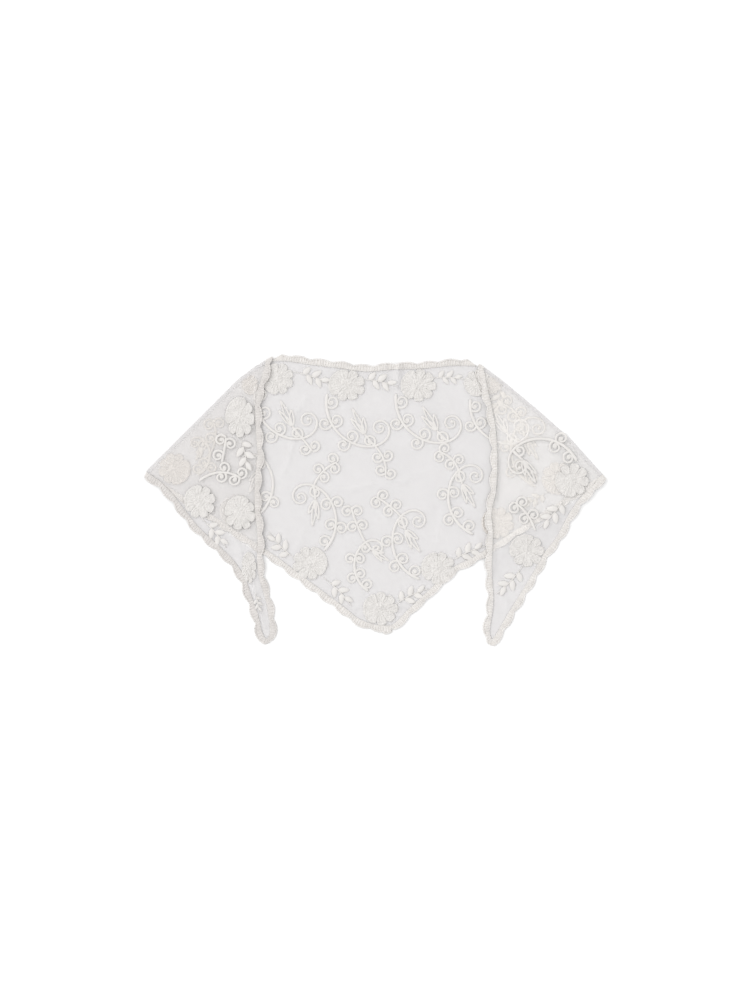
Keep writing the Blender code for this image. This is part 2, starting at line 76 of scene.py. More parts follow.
lowerLeftSeam = ((-385, 60), (-268, -16), (-164, -83), (-127, -110), (-49, -168), (-26, -186), (0, -196),
                 (27, -197.5))
lowerRightSeam = ((27, -197.5), (38, -189), (53, -173), (111, -119), (128, -104), (163, -86), (265, -20),
                  (388, 58))
leftEndSeam = ((-384, 62), (-352, 39.5), (-331, 24), (-312, 4), (-293, -21), (-273, -45), (-246, -70),
               (-219, -97), (-203, -122), (-193, -149), (-181, -184), (-176.5, -205), (-168, -218),
               (-160, -205), (-165, -163), (-176, -124), (-179.5, -98), (-179, -55), (-183, -15),
               (-183, 30), (-179, 66), (-181, 100), (-182.5, 140), (-179, 168), (-171, 192), (-166, 216),
               (-163, 244))
rightEndSeam = ((163, 240), (166, 210), (171.5, 175), (179, 145), (185.5, 106), (188, 60), (185.5, 12),
                (179, -20), (181, -56), (179.5, -105), (182, -150), (181, -172), (176.5, -203),
                (182, -219), (192.5, -206), (209, -178), (230, -144), (248, -114), (265, -84),
                (285, -58), (304, -22), (322, 3), (341, 21), (354, 37), (388, 58))
lowerEdges = {
    "left": ((-358.1, 33.3), (-168.2, -89.9)),
    "right": ((360.4, 31), (166, -93.3)),
}

# node, panel, x, y, width and height as shares of the usual flower, the way it faces in degrees
flowers = (
    ("flower_top_1", "middle", -151, 186.5, 0.95, 0.95, 20),
    ("flower_top_2", "middle", -44, 177.5, 1.08, 0.95, -25),
    ("flower_top_3", "middle", 67, 177, 1.04, 0.98, -5),
    ("flower_top_4", "middle", 159, 180, 0.8, 0.8, 40),
    ("flower_low_1", "middle", -98.7, -98, 1.03, 1, 195),
    ("flower_low_2", "middle", 8, -169.5, 1.03, 1, 0),
    ("flower_low_3", "middle", 97.5, -106, 1, 0.97, -15),
    ("flower_low_4", "middle", 190, -36, 0.95, 0.95, -15),
    ("flower_low_5", "middle", -216, -18, 0.95, 0.95, 5),
    ("flower_corner_left", "middle", -309, 47, 0.95, 0.95, 150),
    ("flower_corner_right", "middle", 283, 32, 0.95, 0.95, 60),
    ("flower_left_end_1", "left", -209, 128, 0.86, 1.2, -50),
    ("flower_left_end_2", "left", -271.5, -3, 0.92, 1, -30),
    ("flower_left_end_3", "left", -209, -20, 0.92, 1.02, -60),
    ("flower_left_end_4", "left", -194.5, -104.5, 0.45, 0.92, -80),
    ("flower_right_end_1", "right", 305, 29, 1, 1, 35),
    ("flower_right_end_2", "right", 235, -78.6, 1.03, 0.97, -45),
    ("under_flower_left", "middle", -193, 177.5, 0.5, 0.6, 110),
    ("under_flower_right", "middle", 182, 176, 0.55, 0.5, 60),
)
# node, panel, x, y, heading, side it winds to, scale, number of curls, turn of the bud if there is one,
# and the sprig's heading, length and bend
scrolls = (
    ("scroll_top_1", "middle", -184, 177, -103, 1, 1, 5, 0, (-48, 26, -0.3)),
    ("scroll_top_2", "middle", -73, 164, -102, 1, 1, 5, 0, (-42, 52, -1.1)),
    ("scroll_top_3", "middle", 33.5, 164, -97, 1, 1, 5, 0, None),
    ("scroll_top_4", "middle", 149, 156, -98, 1, 0.9, 3, 0, None),
    ("scroll_low_1", "middle", -78, -79, 45, 1, 0.93, 5, 0, (68, 54, -0.85)),
    ("scroll_low_2", "middle", -9, -142, 148, -1, 0.69, 5, 37, (118, 60, -0.2)),
    ("scroll_low_3", "middle", 70.5, -123.5, 161, -1, 0.93, 5, 0, (132, 50, 0.4)),
    ("scroll_low_4", "middle", 153, -54, 157, -1, 0.93, 5, 0, (108, 46, 1.3)),
    ("scroll_low_5", "middle", -188, -28, 28, 1, 0.85, 3, 0, None),
    ("scroll_corner_left", "middle", -274, 38.5, 26, 1, 0.5, 3, 0, None),
    ("scroll_right_end", "right", 313.5, 59, 116, 1, 0.92, 3, -34, None),
    ("under_scroll_right", "middle", 250, 20, 157, -1, 0.93, 5, 0, (108, 46, 1.3)),
)
# node, panel, x, y, heading, scale
sprays = (
    ("spray_top_1", "middle", -116, 196, -12, 0.95),
    ("spray_top_2", "middle", -14, 186, -4, 0.95),
    ("spray_top_3", "middle", 95.5, 189, 4, 0.8),
    ("spray_low_1", "middle", -129, -87, 142, 0.95),
    ("spray_low_2", "middle", -71, -127.5, -38, 0.95),
    ("spray_low_3", "middle", 36.5, -160, 34, 0.95),
    ("spray_low_4", "middle", 125, -92, 32, 0.95),
    ("spray_left_end_1", "left", -207, 93, -70, 1),
    ("spray_left_end_2", "left", -260, -37, -43, 0.9),
    ("spray_left_end_3", "left", -183.5, -149, -74, 0.5),
    ("spray_right_end_1", "right", 291, -3, -122, 1),
    ("spray_right_end_2", "right", 226, -108, -125, 1),
    ("under_spray_right", "middle", 264, 9, -146, 0.75),
    ("under_spray_top", "middle", 196, 172, -100, 0.85),
)
# node, panel, x, y, heading, length, bend
sprigs = (
    ("scroll_left_end", "left", -272, 28, 43, 72, -1.1),
    ("sprig_left_end", "left", -236.5, 57, 78, 40, 0.1),
    ("sprig_right_end", "right", 249, -49, 106, 56, 0.7),
    ("under_sprig_left", "middle", -262, 63, 44, 66, 1.1),
)

# small helpers


def toLinear(hexColour):
    channels = [int(hexColour[i:i + 2], 16) / 255 for i in (1, 3, 5)]
    return [c / 12.92 if c <= 0.04045 else ((c + 0.055) / 1.055) ** 2.4 for c in channels] + [1.0]


def towards(degrees):
    return Vector((math.cos(math.radians(degrees)), math.sin(math.radians(degrees))))


def soft(value):
    value = min(1.0, max(0.0, value))
    return value * value * (3.0 - 2.0 * value)


def walk(start, heading, length, bend, side, stride):
    # points and headings of a line that turns by bend(s) degrees a millimetre
    here = Vector(start)
    rows = [(here.copy(), heading, 0.0)]
    along = 0.0
    while along < length - 1e-6:
        step = min(stride, length - along)
        turn = side * bend(along + step / 2) * step
        here = here + towards(heading + turn / 2) * step
        heading += turn
        along += step
        rows.append((here.copy(), heading, along))
    return rows


def at(rows, distance):
    # place and heading at a distance along such a line
    for (p, h, s), (q, g, t) in zip(rows, rows[1:]):
        if t >= distance:
            share = (distance - s) / (t - s)
            return p.lerp(q, share), h + (g - h) * share
    return rows[-1][0], rows[-1][1]


def smoothLine(points, spacing):
    points = [Vector(p) for p in points]
    ends = [points[0] * 2 - points[1]] + points + [points[-1] * 2 - points[-2]]
    line = [points[0]]
    for a, b, c, d in zip(ends, ends[1:], ends[2:], ends[3:]):
        count = max(1, round((c - b).length / spacing))
        for i in range(1, count + 1):
            t = i / count
            line.append(0.5 * (2 * b + (c - a) * t + (2 * a - 5 * b + 4 * c - d) * t ** 2
                               + (3 * b - a - 3 * c + d) * t ** 3))
    return line


def spaced(line, spacing):
    # places, headings and distances every spacing along a line of points
    total = sum((q - p).length for p, q in zip(line, line[1:]))
    count = max(2, round(total / spacing))
    rows, along, i = [], 0.0, 0
    for p, q in zip(line, line[1:]):
        step = (q - p).length
        heading = math.degrees(math.atan2(q.y - p.y, q.x - p.x))
        while i <= count and i * total / count <= along + step + 1e-6:
            rows.append((p.lerp(q, (i * total / count - along) / step), heading, i * total / count))
            i += 1
        along += step
    return rows


def inwardOf(start, end):
    # the way from a fold towards the middle
    across = Vector((start[1] - end[1], end[0] - start[0])).normalized()
    return -across if across.x * start[0] > 0 else across


def insideFold(side, x, y):
    # how far a point lies on the inner side of a fold
    fold = folds[side]
    return min((Vector((x, y)) - Vector(a)).dot(inwardOf(a, b)) for a, b in zip(fold, fold[1:]))


def pastEdge(side, x, y):
    # how far a point of an end hangs past the middle's lower edge
    (ax, ay), (bx, by) = lowerEdges[side]
    along = Vector((bx - ax, by - ay)).normalized()
    down = Vector((-along.y, along.x))
    if down.y > 0:
        down = -down
    return (x - ax) * down.x + (y - ay) * down.y


# how the cloth lies

# x and y of both ends, height, half width: soft ridges, and troughs where the height is below 0
creases = (
    (-106, 156, -120, 136, 1.1, 4),
    (-120, 136, -128, 77, 0.9, 5),
    (-128, 77, -139, 44, 0.8, 5),
    (-67, 15, -34, 15.5, 1, 3.5),
    (-34, 15.5, -4, 24, 1.1, 3.5),
    (-4, 24, 48, 29, 0.8, 4.5),
    (48, 29, 90, 46, 0.7, 4.5),
    (39, 226, 36, 176, 3.8, 4.5),
    (49, 226, 45, 190, -1.6, 5),
    (20, 212, 12, 190, 1, 8),
    (-24, -165, 40, -166, 1.2, 4),
    (-24, -171, 40, -172, -1.2, 4),
    (40, -167, 82, -150, 1.4, 4.5),
    (60, -144, 88, -140, -1, 6),
    (140, -84, 160, -70, 1.2, 5),
    (112, 0, 100, -60, 0.8, 7),
    (-110, -50, -122, -86, 0.8, 6),
    (70, 150, 96, 120, 0.7, 9),
    (-20, 60, -14, 110, 0.6, 10),
)
flapCreases = {
    "left": (
        (-186, 196, -180, 176, 1.8, 6),
        (-200, 186, -196, 160, 1, 6),
        (-188, 150, -190, 90, 1, 5),
        (-196, 60, -190, 0, 1.2, 6),
        (-215, -60, -186, -140, 1.6, 6),
        (-186, -140, -172, -196, 1.8, 5),
        (-300, 30, -250, -30, 0.8, 8),
        (-280, 100, -230, 70, 0.7, 9),
    ),
    "right": (
        (172, 196, 178, 150, 1.5, 6),
        (190, 150, 196, 80, 1, 6),
        (188, 60, 186, 0, 1.4, 5),
        (183, -20, 184, -110, 1.2, 5),
        (190, -120, 205, -170, 1, 6),
        (240, 110, 220, 40, 0.7, 10),
        (330, 40, 280, -10, 0.9, 8),
        (230, -20, 260, -60, 0.8, 7),
    ),
}
ripple = {"long": 58.0, "long height": 0.55, "short": 17.0, "short height": 0.16, "middle seed": 3.7,
          "end seed": 9.1}


def ridge(row, x, y):
    ax, ay, bx, by, height, half = row
    dx, dy = bx - ax, by - ay
    share = ((x - ax) * dx + (y - ay) * dy) / (dx * dx + dy * dy)
    near = min(1.0, max(0.0, share))
    off = math.hypot(x - ax - dx * near, y - ay - dy * near)
    return height * math.exp(-(off / half) ** 2)


def rippled(x, y, seed):
    place, apart = Vector((x, y, 0.0)), Vector((0, 0, seed))
    return (ripple["long height"] * noise.noise(place / ripple["long"] + apart)
            + ripple["short height"] * noise.noise(place / ripple["short"] + apart))


def middleRelief(x, y):
    creased = sum(ridge(row, x, y) for row in creases)
    return max(cloth["least"], cloth["rest"] + creased + rippled(x, y, ripple["middle seed"]))


def underside(panel, x, y):
    # height of the cloth's underside over the floor
    if panel == "middle":
        flat, rise = cloth["flat edge"]
        edge = soft((min(insideFold("left", x, y), insideFold("right", x, y)) - flat) / rise)
        return cloth["folded"] + (middleRelief(x, y) - cloth["folded"]) * edge
    first, last = cloth["ramp"]
    down = soft((pastEdge(panel, x, y) - first) / (last - first))
    inner = soft((insideFold(panel, x, y) - cloth["fold inset"]) / cloth["rise"])
    waves = sum(ridge(row, x, y) for row in flapCreases[panel]) + rippled(x, y, ripple["end seed"])
    for _, beneath, fx, fy, wide, _, _ in flowers:
        if beneath == "middle":
            reach = cloth["flower radius"] * wide + cloth["dome margin"]
            waves += cloth["dome"] * soft((reach - math.hypot(x - fx, y - fy)) / cloth["dome edge"])
    settled = middleRelief(x, y) - cloth["folded"] - cloth["flap sag"]
    below = (cloth["flap level"] + settled * inner) * (1.0 - down)
    return max(cloth["least"], below + max(-cloth["folded"], waves + cloth["fullness"]) * inner)


def onTop(panel, x, y):
    return underside(panel, x, y) + cloth["wall"]


def flatSheet(outline, grid):
    # a flat mesh inside an outline, with points on a grid
    outline = [Vector(p) for p in outline]
    count = len(outline)
    lowX, highX = min(p.x for p in outline), max(p.x for p in outline)
    lowY, highY = min(p.y for p in outline), max(p.y for p in outline)
    inner = []
    for j in range(int((highY - lowY) / grid)):
        for i in range(int((highX - lowX) / grid)):
            inner.append(Vector((lowX + (i + 0.5 + 0.5 * (j % 2)) * grid, lowY + (j + 0.5) * grid)))
    near = kdtree.KDTree(count)
    for i, p in enumerate(outline):
        near.insert((p.x, p.y, 0.0), i)
    near.balance()
    kept = [p for p in inner if near.find((p.x, p.y, 0.0))[2] > cloth["rim apart"] * grid]
    edges = [(i, (i + 1) % count) for i in range(count)]
    found = delaunay_2d_cdt(outline + kept, edges, [], 1, 0.001)
    bm = bmesh.new()
    verts = [bm.verts.new((p.x, p.y, 0.0)) for p in found[0]]
    for corners in found[2]:
        bm.faces.new([verts[i] for i in corners])
    bmesh.ops.delete(bm, geom=[v for v in verts if not v.link_faces], context="VERTS")
    bmesh.ops.recalc_face_normals(bm, faces=bm.faces)
    if sum(f.normal.z for f in bm.faces) < 0:
        bmesh.ops.reverse_faces(bm, faces=bm.faces)
    return bm


def cutAtFold(bm, side, inset):
    fold = folds[side]
    for start, end in zip(fold, fold[1:]):
        inward = inwardOf(start, end)
        place = Vector(start) + inward * inset
        bmesh.ops.bisect_plane(bm, geom=bm.verts[:] + bm.edges[:] + bm.faces[:], dist=1e-4,
                               plane_co=(*place, 0.0), plane_no=(*inward, 0.0), clear_inner=True)


def foldEdges(bm, side, inset):
    # a sheet's edges along its fold, and the way out of it at their points
    fold = folds[side]
    outward = {}
    for v in bm.verts:
        ways = []
        for start, end in zip(fold, fold[1:]):
            inward = inwardOf(start, end)
            if abs((v.co.xy - Vector(start)).dot(inward) - inset) < 1e-3:
                ways.append(-inward)
        if ways:
            way = sum(ways, Vector((0.0, 0.0)))
            outward[v] = way / way.dot(ways[0])
    edges = [e for e in bm.edges if e.is_boundary and all(v in outward for v in e.verts)]
    return edges, outward


def rollUnder(bm, edges, outward, low):
    # rolls the cloth round its fold and a little way back under itself
    start = {v: (v.co.copy(), outward[v]) for e in edges for v in e.verts}
    steps = cloth["fold steps"]
    for step in range(1, steps + 2):
        grown = bmesh.ops.extrude_edge_only(bm, edges=edges)
        new = {v for v in grown["geom"] if isinstance(v, bmesh.types.BMVert)}
        edges = [e for e in grown["geom"]
                 if isinstance(e, bmesh.types.BMEdge) and all(v in new for v in e.verts)]
        rows = {}
        for v in new:
            place, out = next(start[o] for o in (e.other_vert(v) for e in v.link_edges) if o in start)
            radius = (place.z - low) / 2
            angle = math.pi * min(step, steps) / steps
            bulge = cloth["fold inset"] * cloth["roll"] * math.sin(angle)
            reach = bulge - (cloth["fold lip"] if step > steps else 0.0)
            spot = place.xy + out * reach
            v.co = (spot.x, spot.y, low + radius * (1 + math.cos(angle)))
            rows[v] = (place, out)
        start = rows
    return edges


def finishPiece(name, bm, material, nodes, wall=0.0):
    # makes a piece out of a mesh in the layout's millimetres, attaches it to the root body and hides the
    # solids it stands for
    for v in bm.verts:
        v.co = Vector((v.co.x - layoutMiddle[0], v.co.y - layoutMiddle[1], v.co.z)) * mm
    mesh = bpy.data.meshes.new(name)
    bm.to_mesh(mesh)
    bm.free()
    for one in material if isinstance(material, list) else [material]:
        mesh.materials.append(one)
    for polygon in mesh.polygons:
        polygon.use_smooth = True
    piece = bpy.data.objects.new(name, mesh)
    bpy.context.scene.collection.objects.link(piece)
    if wall:
        modifier = piece.modifiers.new("wall", "SOLIDIFY")
        modifier.thickness = wall * mm
        modifier.offset = 0.0
    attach(piece, "root")
    if nodes:
        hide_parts(*nodes)
    return piece


# materials


def addNode(tree, kind, settings=None, **links):
    # adds a node, sets its values and links its inputs, and hands it back
    node = tree.nodes.new(kind)
    for key, value in (settings or {}).items():
        if key in node.inputs:
            node.inputs[key].default_value = value
        else:
            setattr(node, key, value)
    for key, source in links.items():
        tree.links.new(source, node.inputs[key.replace("_", " ")])
    return node


def newMaterial(name):
    material = bpy.data.materials.new(name)
    material.use_nodes = True
    return material, material.node_tree, material.node_tree.nodes["Principled BSDF"]


def setFinish(shader, look):
    shader.inputs["Roughness"].default_value = look["roughness"]
    shader.inputs["Sheen Weight"].default_value = look["sheen"]
    shader.inputs["Specular IOR Level"].default_value = look["specular"]


def tulleNet(look):
    # fine polyester tulle: sheer, cool grey-white, so that what lies under it shows; a wave texture
    # has one thread to a mesh at a scale of pi / 10 over the mesh
    material, tree, shader = newMaterial(look["name"])
    place = addNode(tree, "ShaderNodeTexCoord")
    height = addNode(tree, "ShaderNodeMath", {"operation": "MAXIMUM"})
    for i, turn in enumerate((45.0, -45.0)):
        turned = addNode(tree, "ShaderNodeMapping", {"Rotation": (0, 0, math.radians(turn))},
                         Vector=place.outputs["Object"])
        threads = addNode(tree, "ShaderNodeTexWave", {"Scale": math.pi / 10 / (look["mesh"] * mm),
                                                      "Distortion": 0.6, "Detail": 1.0},
                          Vector=turned.outputs["Vector"])
        tree.links.new(threads.outputs["Fac"], height.inputs[i])
    clouds = addNode(tree, "ShaderNodeTexNoise", {"Scale": 1 / (look["cloud"] * mm), "Detail": 3.0},
                     Vector=place.outputs["Object"])
    colour = addNode(tree, "ShaderNodeMix", {"data_type": "RGBA"})
    colour.inputs[6].default_value = toLinear(look["thin"])
    colour.inputs[7].default_value = toLinear(look["dense"])
    tree.links.new(clouds.outputs["Fac"], colour.inputs[0])
    tree.links.new(colour.outputs[2], shader.inputs["Base Color"])
    bump = addNode(tree, "ShaderNodeBump", {"Strength": look["bump"], "Distance": look["depth"] * mm},
                   Height=height.outputs[0])
    tree.links.new(bump.outputs["Normal"], shader.inputs["Normal"])
    shader.inputs["Alpha"].default_value = look["cover"]
    setFinish(shader, look)
    return material


def satinThread(look):
    # rayon embroidery thread laid over a cord: creamy, with a soft sheen and stitches too fine to show
    material, tree, shader = newMaterial(look["name"])
    place = addNode(tree, "ShaderNodeTexCoord")
    tone = addNode(tree, "ShaderNodeTexNoise", {"Scale": 1 / (look["patch"] * mm), "Detail": 2.0},
                   Vector=place.outputs["Object"])
    colour = addNode(tree, "ShaderNodeMix", {"data_type": "RGBA"})
    colour.inputs[6].default_value = toLinear(look["dark"])
    colour.inputs[7].default_value = toLinear(look["light"])
    tree.links.new(tone.outputs["Fac"], colour.inputs[0])
    tree.links.new(colour.outputs[2], shader.inputs["Base Color"])
    setFinish(shader, look)
    return material


def loopedThread(look):
    # needle-lace loops worked close together: a knotted, grainy cream surface, with a painted highlight on
    # the knots, painted shade in the dips between them, and a random tone
    material, tree, shader = newMaterial(look["name"])
    place = addNode(tree, "ShaderNodeTexCoord")
    knots = addNode(tree, "ShaderNodeTexVoronoi", {"Scale": 1 / (look["knot"] * mm), "Randomness": 0.8},
                    Vector=place.outputs["Object"])
    tone = addNode(tree, "ShaderNodeTexNoise", {"Scale": 1 / (look["patch"] * mm), "Detail": 3.0},
                   Vector=place.outputs["Object"])
    dips = addNode(tree, "ShaderNodeMapRange", {"From Min": 0.0, "From Max": 0.75, "To Min": 1.0,
                                                "To Max": 0.0}, Value=knots.outputs["Distance"])
    # painted shade and highlight: the colour darkens where the knots dip and lightens on their tops
    depth = addNode(tree, "ShaderNodeMath", {"operation": "MULTIPLY"})
    tree.links.new(dips.outputs["Result"], depth.inputs[0])
    depth.inputs[1].default_value = look["raised"]
    dipShadeAndTone = addNode(tree, "ShaderNodeMath", {"operation": "ADD"})
    tree.links.new(depth.outputs[0], dipShadeAndTone.inputs[0])
    tree.links.new(tone.outputs["Fac"], dipShadeAndTone.inputs[1])
    colour = addNode(tree, "ShaderNodeMix", {"data_type": "RGBA"})
    colour.inputs[6].default_value = toLinear(look["dark"])
    colour.inputs[7].default_value = toLinear(look["light"])
    tree.links.new(dipShadeAndTone.outputs[0], colour.inputs[0])
    tree.links.new(colour.outputs[2], shader.inputs["Base Color"])
    bump = addNode(tree, "ShaderNodeBump", {"Strength": look["bump"], "Distance": look["depth"] * mm},
                   Height=dips.outputs["Result"])
    tree.links.new(bump.outputs["Normal"], shader.inputs["Normal"])
    setFinish(shader, look)
    return material


# sizes in mm: the real mesh and loops are about half as big, and drawn coarser so that they show
netLook = {"name": "tulle net", "mesh": 1.6, "cloud": 40.0, "thin": "#E2E0E0", "dense": "#E7E5E5",
           "bump": 0.25, "depth": 0.25, "cover": 0.5, "roughness": 0.8, "sheen": 0.1, "specular": 0.2}
# the folded ends' net is painted lighter than the middle's: painted light for the light that comes through
# them from both layers
leftEndPaintedLightLook = {**netLook, "name": "tulle net of the left end, painted lighter", "thin": "#EEEBE9", "dense": "#F1EEEC",
               "cover": 0.21}
# the right end's net is painted lighter still: painted light that lifts the shade on its side, which faces
# away from the light
rightEndPaintedLightLook = {**leftEndPaintedLightLook, "name": "tulle net of the right end, painted lighter", "thin": "#FCFAF8", "dense": "#FEFCFA"}
threadLook = {"name": "satin thread", "patch": 9.0, "dark": "#DAD7D4", "light": "#E4E1DE",
              "roughness": 0.62, "sheen": 0.15, "specular": 0.3}
# the lace looks paint the dips between knots darker and the knots' tops lighter: painted shade and
# highlight
flowerLook = {"name": "needle lace flower", "raised": 0.7, "knot": 1.7, "patch": 7.0, "dark": "#CFCCC9",
              "light": "#E9E6E3", "bump": 0.9, "depth": 0.8, "roughness": 0.75, "sheen": 0.1,
              "specular": 0.25}
# what lies beneath the folded ends looks creamier through their net: these copies are painted darker and
# creamier, painted shade of the end lying over them
shadedBeneathThreadLook = {**threadLook, "name": "satin thread beneath the ends with painted shade", "dark": "#D3CFCA",
                     "light": "#DDD9D4"}
shadedBeneathFlowerLook = {**flowerLook, "name": "needle lace beneath the ends with painted shade", "dark": "#CBC6C1",
                     "light": "#E5E0DB"}
edgeLook = {**flowerLook, "name": "lace edging", "raised": 0.35, "knot": 1.6, "patch": 9.0,
            "dark": "#C2BEBB", "light": "#F3F0ED", "bump": 0.6}
groundLook = {**flowerLook, "name": "edging ground", "knot": 2.0, "patch": 5.0, "dark": "#D5D1CD",
              "light": "#E1DDD9", "bump": 0.5}
# the left end's edging is painted a little darker and greyer: painted shade
leftEdgePaintedShadeLook = {**edgeLook, "name": "lace edging of the left end with painted shade", "dark": "#BBB7B4", "light": "#ECE8E5"}
leftGroundPaintedShadeLook = {**groundLook, "name": "edging ground of the left end with painted shade", "dark": "#CECAC7",
                  "light": "#DAD6D3"}
net = tulleNet(netLook)
paintedLightEndNets = [tulleNet(leftEndPaintedLightLook), tulleNet(rightEndPaintedLightLook)]
thread = satinThread(threadLook)
flowerThread = loopedThread(flowerLook)
shadedBeneathThread = satinThread(shadedBeneathThreadLook)
shadedBeneathFlower = loopedThread(shadedBeneathFlowerLook)
edgeThread = loopedThread(edgeLook)
edgeGround = loopedThread(groundLook)
leftEdgeShadedThread = loopedThread(leftEdgePaintedShadeLook)
leftEdgeShadedGround = loopedThread(leftGroundPaintedShadeLook)
print("materials made")

# net ground: one triangle of net, folded at both ends


def middleOutline():
    lower = smoothLine(lowerLeftSeam, cloth["outline step"])
    lower += smoothLine(lowerRightSeam, cloth["outline step"])[1:]
    return lower + smoothLine(topSeam, cloth["outline step"])


def joinInto(whole, bm):
    copied = bpy.data.meshes.new("copied")
    bm.to_mesh(copied)
    bm.free()
    whole.from_mesh(copied)
    bpy.data.meshes.remove(copied)


def addNet():
    whole = bmesh.new()
    half = cloth["wall"] / 2
    lapped = cloth["fold inset"] + cloth["fold lip"] + cloth["seam gap"]
    for index, (side, seam) in enumerate((("left", leftEndSeam), ("right", rightEndSeam))):
        bm = flatSheet(smoothLine(seam, cloth["outline step"]), cloth["grid"])
        cutAtFold(bm, side, cloth["fold inset"])
        for v in bm.verts:
            v.co.z = underside(side, v.co.x, v.co.y) + half
        edges, outward = foldEdges(bm, side, cloth["fold inset"])
        rollUnder(bm, edges, outward, half + cloth["folded"])
        bmesh.ops.recalc_face_normals(bm, faces=bm.faces)
        for face in bm.faces:
            spot = face.calc_center_median()
            # where an end lies doubled over the middle, its faces take the net painted lighter
            doubled = pastEdge(side, spot.x, spot.y) < 0 and insideFold(side, spot.x, spot.y) > lapped
            face.material_index = 1 + index if doubled else 0
        joinInto(whole, bm)
    bm = flatSheet(middleOutline(), cloth["grid"])
    for side in folds:
        cutAtFold(bm, side, lapped)
    for v in bm.verts:
        v.co.z = underside("middle", v.co.x, v.co.y) + half
    joinInto(whole, bm)
    piece = finishPiece("netGround", whole, [net, *paintedLightEndNets],
                        ("net_middle", "net_left_end", "net_right_end"), cloth["wall"])
    piece.visible_shadow = False  # net scatters light on instead of stopping it
    return piece


netGround = addNet()
print("net ground laid and folded")

# strands of thread

strand = {"sides": 8, "stride": 2.0, "straight stride": 3.0, "sunk": 0.25, "bedded": 0.05}


def addStrand(bm, panel, path, width, height, lift=0.0):
    # a round or leaf-shaped strand lying on the cloth: width and height are functions of its share
    sides = strand["sides"]
    rings = []
    for i, here in enumerate(path):
        before, after = path[max(0, i - 1)], path[min(len(path) - 1, i + 1)]
        ahead = (after - before).normalized()
        across = Vector((-ahead.y, ahead.x))
        share = i / (len(path) - 1)
        wide, high = width(share) / 2, height(share)
        base = onTop(panel, here.x, here.y) - strand["bedded"] + lift
        ring = []
        for k in range(sides):
            angle = 2 * math.pi * k / sides
            spot = here + across * (wide * math.cos(angle))
            rise = high * max(0.0, math.sin(angle)) + strand["sunk"] * min(0.0, math.sin(angle))
            ring.append(bm.verts.new((spot.x, spot.y, base + rise)))
        rings.append(ring)
    faces = []
    for a, b in zip(rings, rings[1:]):
        for k in range(sides):
            j = (k + 1) % sides
            faces.append(bm.faces.new((a[k], a[j], b[j], b[k])))
    faces.append(bm.faces.new(rings[0][::-1]))
    faces.append(bm.faces.new(rings[-1]))
    bmesh.ops.recalc_face_normals(bm, faces=faces)


def rounded(size, least=0.35, bare=0.06, end=1.0):
    # a profile that rounds off at both ends and narrows evenly to its end's share of the size
    def profile(share):
        plain = size * (1.0 + (end - 1.0) * share)
        return plain * (least + (1.0 - least) * soft(min(share, 1.0 - share) / bare))
    return profile


def lens(size, fullest=0.4):
    # a leaf's profile: thin at its base, fullest before its middle, and pointed
    def profile(share):
        if share < fullest:
            return size * (0.3 + 0.7 * math.sin(share / fullest * math.pi / 2))
        return size * max(0.08, math.cos((share - fullest) / (1.0 - fullest) * math.pi / 2) ** 0.65)
    return profile


def addKnot(bm, panel, centre, radius, height):
    # a small domed knot at the heart of a curl
    made = bmesh.ops.create_uvsphere(bm, u_segments=10, v_segments=6, radius=1.0)
    base = onTop(panel, centre.x, centre.y) - strand["bedded"]
    for v in made["verts"]:
        rise = height * max(0.0, v.co.z) + strand["sunk"] * min(0.0, v.co.z)
        v.co = Vector((centre.x + v.co.x * radius, centre.y + v.co.y * radius, base + rise))


scrollShape = {
    "length": 222, "winds on": 10, "bend": 0.84, "winds from": 92, "winding": 0.00045,
    "stem": 5, "stem height": 1.3, "narrows to": 0.62, "sprig from": 128,
    "curls": ((19, 1), (48, -1), (53, 1), (87, -1), (93, 1)),
    "bud stalk": (128, 118, 24),
    "bud leaves": ((-15, 44, 6.4), (1, 33, 6), (-36, 26, 6.6)),
    "bud curl": (126, 0.95), "leaf cord": 2.8, "leaf cord height": 0.8, "leaf cord tip": 0.6,
    "leaf steps": 14, "leaf skew": 0.8, "knot": 3, "knot off": 3, "knot height": 1.4,
}
curlShape = {"length": 44, "winds on": 15, "radii": (10.8, 5.9), "least radius": 3.2,
             "leaves at": 36, "smallest": 0.8, "cord": 3.8, "cord height": 0.95, "narrows to": 0.8,
             "stride": 1.4, "knot": 2.5, "knot off": 0.8, "smallest knot": 0.85}
sprigShape = {"curls": ((5, -1), (1, 1), (29, -1), (26, 1)), "curl scale": 0.85, "bare": 12.0}
sprayShape = {
    "length": 40, "bend": -0.35, "stalk": 1.7, "tail": 1.1, "tail behind": 11, "tail ahead": 15,
    "leaves": ((6, 55, 16, 10.4), (13, -50, 18, 10.2), (21, 48, 18, 10.6),
               (29, -45, 17, 9.8), (36, 22, 16, 9)),
    "leaf height": 1.3, "stalk height": 1.3, "leaf steps": 10,
}


def addCurl(bm, panel, start, heading, side, scale):
    # a side curl that winds tighter towards its knot
    first, last = (r * scale for r in curlShape["radii"])
    length = curlShape["length"] * scale
    least = curlShape["least radius"] * scale

    def bend(s):
        if s < length:
            return math.degrees(1 / (first + (last - first) * s / length))
        return math.degrees(1 / max(least, last - (s - length) / 2))

    whole = length + curlShape["winds on"] * scale
    rows = walk(start, heading + side * curlShape["leaves at"], whole, bend, side,
                curlShape["stride"])
    path = [row[0] for row in rows]
    addStrand(bm, panel, path, rounded(curlShape["cord"], end=curlShape["narrows to"]),
              rounded(curlShape["cord height"], end=curlShape["narrows to"]))
    place, direction, _ = rows[-1]
    centre = place + towards(direction + 90 * side) * least * curlShape["knot off"]
    addKnot(bm, panel, centre, curlShape["knot"] * max(scale, curlShape["smallest knot"]),
            curlShape["cord height"])


